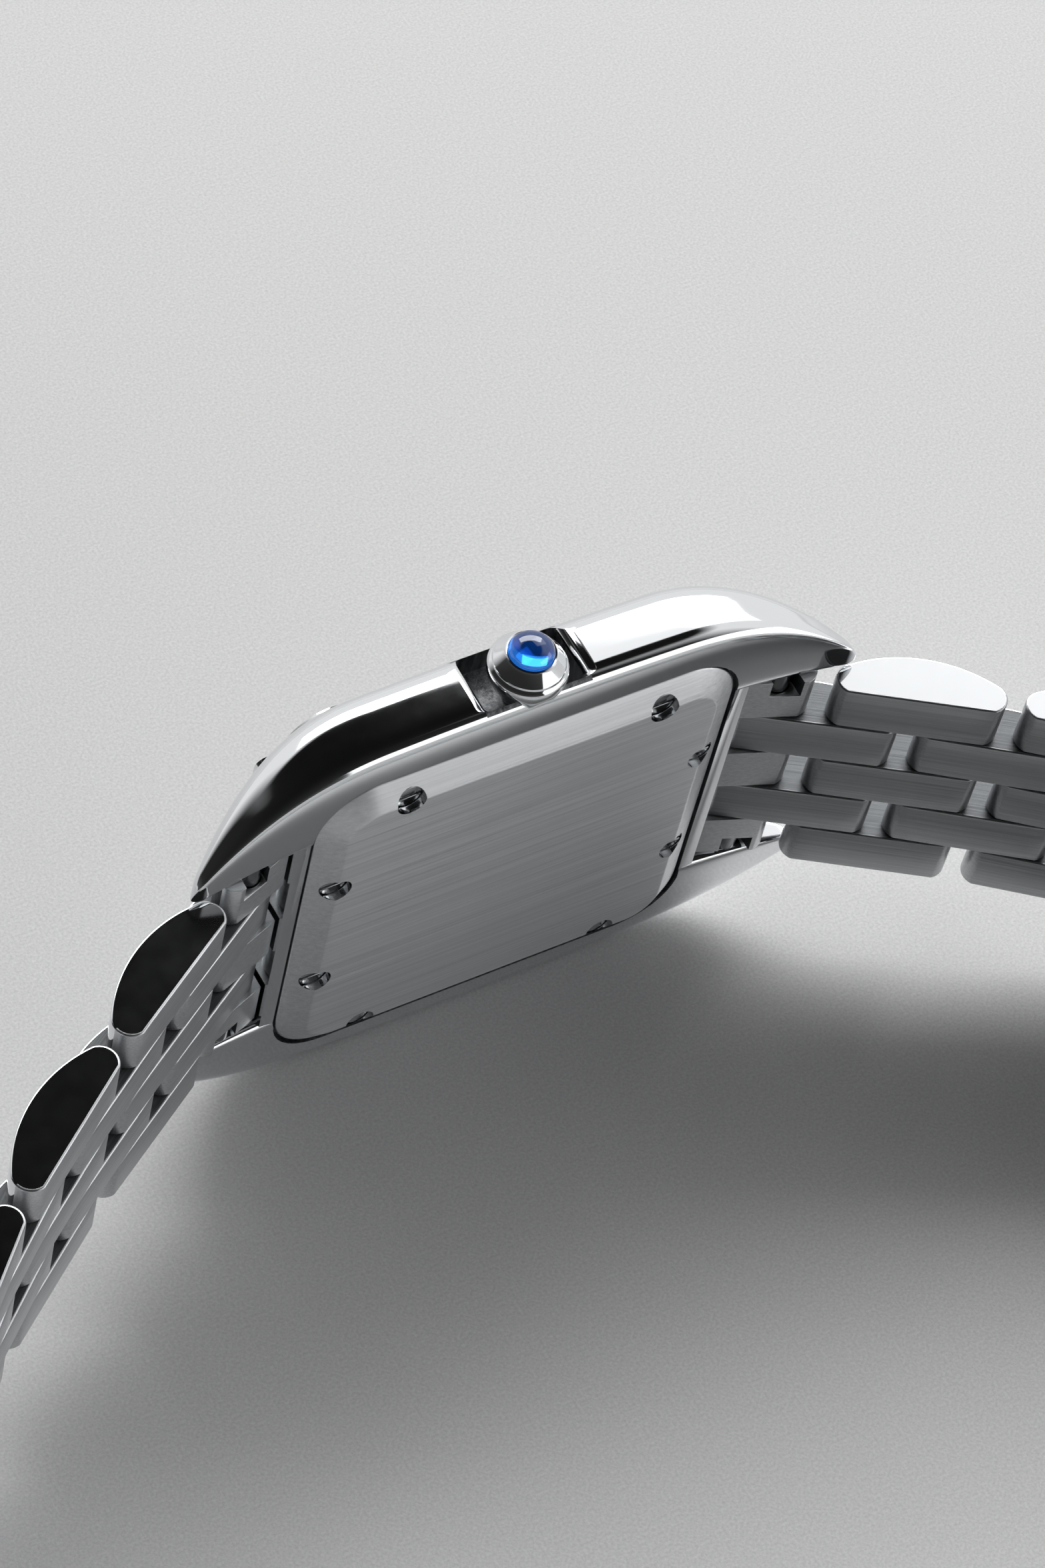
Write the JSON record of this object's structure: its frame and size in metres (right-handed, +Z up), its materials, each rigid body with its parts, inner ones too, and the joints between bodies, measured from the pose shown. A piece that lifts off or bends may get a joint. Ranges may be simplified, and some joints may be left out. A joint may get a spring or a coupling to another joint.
{
  "type": "square wristwatch",
  "caption": "Square steel wristwatch with a blue stone crown and a brick link bracelet, standing on its side with the clasp open.",
  "frame": {"origin": "bottom centre of the bounding box of the watch as it stands on its nine o'clock flank", "axes": "+X from six to twelve o'clock, +Y toward the dial side, +Z up toward the crown; the watch leans about X by a few degrees because the bracelet is narrower than the case"},
  "size_m": [0.0968, 0.064, 0.0293],
  "materials": {
    "polished_steel": "mirror polished stainless steel",
    "brushed_steel": "brushed stainless steel",
    "dark_steel": "fine turned steel",
    "sapphire": "clear sapphire crystal",
    "rubber_black": "moulded rubber",
    "dial_lacquer": "pale satin lacquer on brass",
    "blued_steel": "heat blued steel",
    "brass_plain": "machined brass",
    "plate_metal": "nickel plated brass",
    "board_green": "solder mask",
    "copper_coil": "enamelled copper wire",
    "holder_white": "moulded plastic",
    "blue_stone": "polished blue spinel cabochon"
  },
  "bodies": {
    "case": {"case_body": "polished_steel", "bezel": "polished_steel", "bezel_screws": "dark_steel", "crystal": "sapphire", "crystal_gasket": "rubber_black", "dial": "dial_lacquer", "movement": "plate_metal", "circuit_board": "board_green", "drive_coil": "copper_coil", "battery": "brushed_steel", "movement_holder": "holder_white", "crown_tube": "dark_steel", "back_gasket": "rubber_black", "case_back": "brushed_steel", "back_screws": "dark_steel", "spring_bars": "dark_steel", "end_link_12": "brushed_steel", "end_link_6": "brushed_steel"},
    "minute": {"minute_hand": "blued_steel", "cannon_pinion": "brass_plain"},
    "hour": {"hour_hand": "blued_steel", "hour_wheel": "brass_plain"},
    "pinion": {"setting_pinion": "brass_plain"},
    "crown": {"winding_stem": "dark_steel", "crown": "polished_steel", "crown_cabochon": "blue_stone"},
    "row_12_01": {"link_12_01": "brushed_steel"},
    "row_12_02": {"link_12_02": "brushed_steel"},
    "row_12_03": {"link_12_03": "brushed_steel"},
    "row_12_04": {"link_12_04": "brushed_steel"},
    "row_12_05": {"link_12_05": "brushed_steel"},
    "row_12_06": {"link_12_06": "brushed_steel"},
    "row_12_07": {"link_12_07": "brushed_steel"},
    "row_12_08": {"link_12_08": "brushed_steel"},
    "row_12_09": {"link_12_09": "brushed_steel"},
    "row_12_10": {"link_12_10": "brushed_steel"},
    "row_12_11": {"link_12_11": "brushed_steel"},
    "row_12_12": {"link_12_12": "brushed_steel"},
    "row_12_13": {"link_12_13": "brushed_steel"},
    "row_12_14": {"link_12_14": "brushed_steel"},
    "row_6_01": {"link_6_01": "brushed_steel"},
    "row_6_02": {"link_6_02": "brushed_steel"},
    "row_6_03": {"link_6_03": "brushed_steel"},
    "row_6_04": {"link_6_04": "brushed_steel"},
    "row_6_05": {"link_6_05": "brushed_steel"},
    "row_6_06": {"link_6_06": "brushed_steel"},
    "row_6_07": {"link_6_07": "brushed_steel"},
    "row_6_08": {"link_6_08": "brushed_steel"},
    "row_6_09": {"link_6_09": "brushed_steel"},
    "row_6_10": {"link_6_10": "brushed_steel"},
    "row_6_11": {"link_6_11": "brushed_steel"},
    "row_6_12": {"link_6_12": "brushed_steel"},
    "row_6_13": {"link_6_13": "brushed_steel"},
    "row_6_14": {"link_6_14": "brushed_steel"},
    "blade_12": {"clasp_blade_12": "brushed_steel"},
    "plate": {"clasp_plate": "brushed_steel", "clasp_pins": "dark_steel"},
    "blade_6": {"clasp_blade_6": "brushed_steel"}
  },
  "joints": [
    {"name": "minute_hand_turn", "type": "hinge", "parent": "case", "child": "minute", "pos_m": [0, 0.0294, 0.01368], "axis": [0, -0.9937, -0.1117], "continuous": true},
    {"name": "hour_hand_turn", "type": "hinge", "parent": "case", "child": "hour", "pos_m": [0, 0.02891, 0.01363], "axis": [0, -0.9937, -0.1117], "continuous": true},
    {"name": "crown_turn", "type": "hinge", "parent": "case", "child": "pinion", "pos_m": [0, 0.02675, 0.01942], "axis": [0, -0.1117, 0.9937], "continuous": true},
    {"name": "crown_pull", "type": "slide", "parent": "pinion", "child": "crown", "axis": [0, -0.1117, 0.9937], "range_m": [0, 0.0008]},
    {"name": "pin_12_01", "type": "hinge", "parent": "case", "child": "row_12_01", "pos_m": [0.0148, 0.02613, 0.01332], "axis": [0, -0.1117, 0.9937], "range_deg": [-12, 12]},
    {"name": "pin_12_02", "type": "hinge", "parent": "row_12_01", "child": "row_12_02", "pos_m": [0.01889, 0.02363, 0.01303], "axis": [0, 0.1117, -0.9937], "range_deg": [-12, 12]},
    {"name": "pin_12_03", "type": "hinge", "parent": "row_12_02", "child": "row_12_03", "pos_m": [0.02296, 0.0211, 0.01275], "axis": [0, -0.1117, 0.9937], "range_deg": [-12, 12]},
    {"name": "pin_12_04", "type": "hinge", "parent": "row_12_03", "child": "row_12_04", "pos_m": [0.02695, 0.01846, 0.01245], "axis": [0, 0.1117, -0.9937], "range_deg": [-12, 12]},
    {"name": "pin_12_05", "type": "hinge", "parent": "row_12_04", "child": "row_12_05", "pos_m": [0.03082, 0.01562, 0.01213], "axis": [0, -0.1117, 0.9937], "range_deg": [-12, 12]},
    {"name": "pin_12_06", "type": "hinge", "parent": "row_12_05", "child": "row_12_06", "pos_m": [0.03448, 0.01254, 0.01179], "axis": [0, 0.1117, -0.9937], "range_deg": [-12, 12]},
    {"name": "pin_12_07", "type": "hinge", "parent": "row_12_06", "child": "row_12_07", "pos_m": [0.03786, 0.00915, 0.01141], "axis": [0, -0.1117, 0.9937], "range_deg": [-12, 12]},
    {"name": "pin_12_08", "type": "hinge", "parent": "row_12_07", "child": "row_12_08", "pos_m": [0.04086, 0.00543, 0.01099], "axis": [0, 0.1117, -0.9937], "range_deg": [-12, 12]},
    {"name": "pin_12_09", "type": "hinge", "parent": "row_12_08", "child": "row_12_09", "pos_m": [0.04337, 0.00136, 0.01053], "axis": [0, -0.1117, 0.9937], "range_deg": [-12, 12]},
    {"name": "pin_12_10", "type": "hinge", "parent": "row_12_09", "child": "row_12_10", "pos_m": [0.04527, -0.00302, 0.01004], "axis": [0, 0.1117, -0.9937], "range_deg": [-12, 12]},
    {"name": "pin_12_11", "type": "hinge", "parent": "row_12_10", "child": "row_12_11", "pos_m": [0.04642, -0.00765, 0.00952], "axis": [0, -0.1117, 0.9937], "range_deg": [-12, 12]},
    {"name": "pin_12_12", "type": "hinge", "parent": "row_12_11", "child": "row_12_12", "pos_m": [0.04672, -0.01241, 0.00898], "axis": [0, 0.1117, -0.9937], "range_deg": [-12, 12]},
    {"name": "pin_12_13", "type": "hinge", "parent": "row_12_12", "child": "row_12_13", "pos_m": [0.04604, -0.01713, 0.00845], "axis": [0, -0.1117, 0.9937], "range_deg": [-12, 12]},
    {"name": "pin_12_14", "type": "hinge", "parent": "row_12_13", "child": "row_12_14", "pos_m": [0.04435, -0.0216, 0.00795], "axis": [0, 0.1117, -0.9937], "range_deg": [-12, 12]},
    {"name": "pin_6_01", "type": "hinge", "parent": "case", "child": "row_6_01", "pos_m": [-0.0148, 0.02613, 0.01332], "axis": [0, -0.1117, 0.9937], "range_deg": [-12, 12]},
    {"name": "pin_6_02", "type": "hinge", "parent": "row_6_01", "child": "row_6_02", "pos_m": [-0.01889, 0.02363, 0.01303], "axis": [0, 0.1117, -0.9937], "range_deg": [-12, 12]},
    {"name": "pin_6_03", "type": "hinge", "parent": "row_6_02", "child": "row_6_03", "pos_m": [-0.02296, 0.0211, 0.01275], "axis": [0, -0.1117, 0.9937], "range_deg": [-12, 12]},
    {"name": "pin_6_04", "type": "hinge", "parent": "row_6_03", "child": "row_6_04", "pos_m": [-0.02695, 0.01846, 0.01245], "axis": [0, 0.1117, -0.9937], "range_deg": [-12, 12]},
    {"name": "pin_6_05", "type": "hinge", "parent": "row_6_04", "child": "row_6_05", "pos_m": [-0.03082, 0.01562, 0.01213], "axis": [0, -0.1117, 0.9937], "range_deg": [-12, 12]},
    {"name": "pin_6_06", "type": "hinge", "parent": "row_6_05", "child": "row_6_06", "pos_m": [-0.03448, 0.01254, 0.01179], "axis": [0, 0.1117, -0.9937], "range_deg": [-12, 12]},
    {"name": "pin_6_07", "type": "hinge", "parent": "row_6_06", "child": "row_6_07", "pos_m": [-0.03786, 0.00915, 0.01141], "axis": [0, -0.1117, 0.9937], "range_deg": [-12, 12]},
    {"name": "pin_6_08", "type": "hinge", "parent": "row_6_07", "child": "row_6_08", "pos_m": [-0.04086, 0.00543, 0.01099], "axis": [0, 0.1117, -0.9937], "range_deg": [-12, 12]},
    {"name": "pin_6_09", "type": "hinge", "parent": "row_6_08", "child": "row_6_09", "pos_m": [-0.04337, 0.00136, 0.01053], "axis": [0, -0.1117, 0.9937], "range_deg": [-12, 12]},
    {"name": "pin_6_10", "type": "hinge", "parent": "row_6_09", "child": "row_6_10", "pos_m": [-0.04527, -0.00302, 0.01004], "axis": [0, 0.1117, -0.9937], "range_deg": [-12, 12]},
    {"name": "pin_6_11", "type": "hinge", "parent": "row_6_10", "child": "row_6_11", "pos_m": [-0.04642, -0.00765, 0.00952], "axis": [0, -0.1117, 0.9937], "range_deg": [-12, 12]},
    {"name": "pin_6_12", "type": "hinge", "parent": "row_6_11", "child": "row_6_12", "pos_m": [-0.04672, -0.01241, 0.00898], "axis": [0, 0.1117, -0.9937], "range_deg": [-12, 12]},
    {"name": "pin_6_13", "type": "hinge", "parent": "row_6_12", "child": "row_6_13", "pos_m": [-0.04604, -0.01713, 0.00845], "axis": [0, -0.1117, 0.9937], "range_deg": [-12, 12]},
    {"name": "pin_6_14", "type": "hinge", "parent": "row_6_13", "child": "row_6_14", "pos_m": [-0.04435, -0.0216, 0.00795], "axis": [0, 0.1117, -0.9937], "range_deg": [-12, 12]},
    {"name": "clasp_blade_12_hinge", "type": "hinge", "parent": "row_12_14", "child": "blade_12", "pos_m": [0.04163, -0.02553, 0.00751], "axis": [0, -0.1117, 0.9937], "range_deg": [-12, 12]},
    {"name": "clasp_plate_hinge", "type": "hinge", "parent": "blade_12", "child": "plate", "pos_m": [0.02547, -0.03075, 0.00692], "axis": [0, -0.1117, 0.9937], "range_deg": [0, 165]},
    {"name": "clasp_blade_6_hinge", "type": "hinge", "parent": "plate", "child": "blade_6", "pos_m": [-0.00654, -0.03075, 0.00692], "axis": [0, 0.1117, -0.9937], "range_deg": [-165, 0]}
  ],
  "couplings": [
    {"joint": "hour_hand_turn", "follows": "minute_hand_turn", "ratio": 0.083333}
  ]
}
